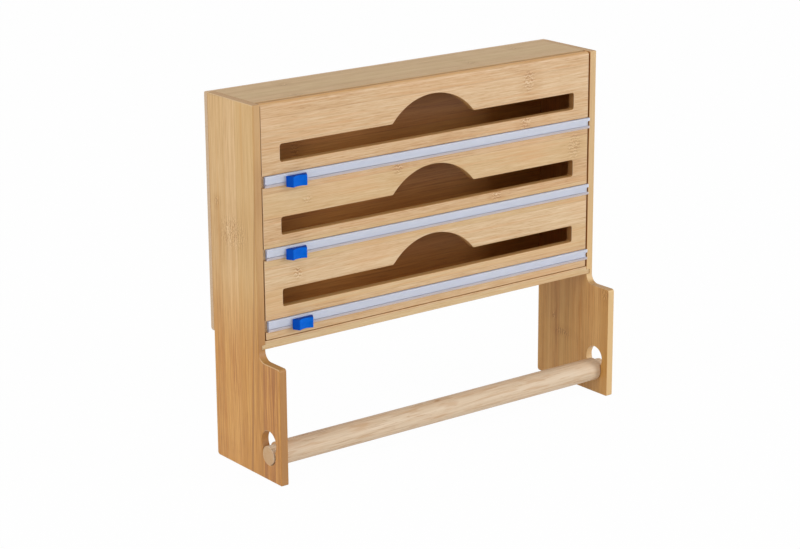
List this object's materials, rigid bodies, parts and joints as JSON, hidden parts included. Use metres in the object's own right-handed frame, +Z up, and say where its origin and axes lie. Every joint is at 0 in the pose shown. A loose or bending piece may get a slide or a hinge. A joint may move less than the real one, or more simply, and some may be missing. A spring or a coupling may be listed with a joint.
{
  "type": "cling film and towel dispenser",
  "caption": "Bamboo wall dispenser with film slots in a hinged front flap, sliding blue cutters on pale rails, and a lift-out towel bar between two legs.",
  "frame": {"origin": "on the floor under the middle of the outer box", "axes": "+X to the right along the width, the front faces -Y, +Z up"},
  "size_m": [0.362, 0.1, 0.31],
  "materials": {
    "side_bamboo": "satin varnish",
    "front_bamboo": "satin varnish",
    "board_bamboo": "satin varnish",
    "dowel_wood": "sanded",
    "rail_plastic": "translucent",
    "knob_plastic": "semi-gloss",
    "shoe_plastic": "natural",
    "blade_steel": "ground",
    "plain_steel": "zinc plated",
    "magnet_plating": "nickel plated"
  },
  "bodies": {
    "frame": {"left_side_panel": "side_bamboo", "right_side_panel": "side_bamboo", "top_board": "board_bamboo", "bottom_board": "front_bamboo", "upper_shelf": "board_bamboo", "lower_shelf": "board_bamboo", "back_panel": "board_bamboo", "back_panel_screws": "plain_steel", "left_hinge_pin": "plain_steel", "right_hinge_pin": "plain_steel", "bottom_board_magnets": "magnet_plating"},
    "flap": {"front_flap": "front_bamboo", "flap_magnets": "magnet_plating", "upper_rail": "rail_plastic", "middle_rail": "rail_plastic", "lower_rail": "rail_plastic"},
    "upper_cutter": {"upper_cutter_knob": "knob_plastic", "upper_cutter_shoe": "shoe_plastic", "upper_cutter_blade": "blade_steel"},
    "middle_cutter": {"middle_cutter_knob": "knob_plastic", "middle_cutter_shoe": "shoe_plastic", "middle_cutter_blade": "blade_steel"},
    "lower_cutter": {"lower_cutter_knob": "knob_plastic", "lower_cutter_shoe": "shoe_plastic", "lower_cutter_blade": "blade_steel"},
    "towel_bar": {"towel_bar": "dowel_wood"}
  },
  "joints": [
    {"name": "flap_hinge", "type": "hinge", "parent": "frame", "child": "flap", "pos_m": [0, -0.017, 0.3065], "axis": [-1, 0, 0], "range_deg": [0, 180]},
    {"name": "upper_cutter_slide", "type": "slide", "parent": "flap", "child": "upper_cutter", "axis": [1, 0, 0], "range_m": [-0.019, 0.302]},
    {"name": "middle_cutter_slide", "type": "slide", "parent": "flap", "child": "middle_cutter", "axis": [1, 0, 0], "range_m": [-0.0175, 0.3035]},
    {"name": "lower_cutter_slide", "type": "slide", "parent": "flap", "child": "lower_cutter", "axis": [1, 0, 0], "range_m": [-0.0225, 0.299]},
    {"name": "towel_bar_lift", "type": "slide", "parent": "frame", "child": "towel_bar", "axis": [0, 0, 1], "range_m": [0, 0.0126]}
  ]
}
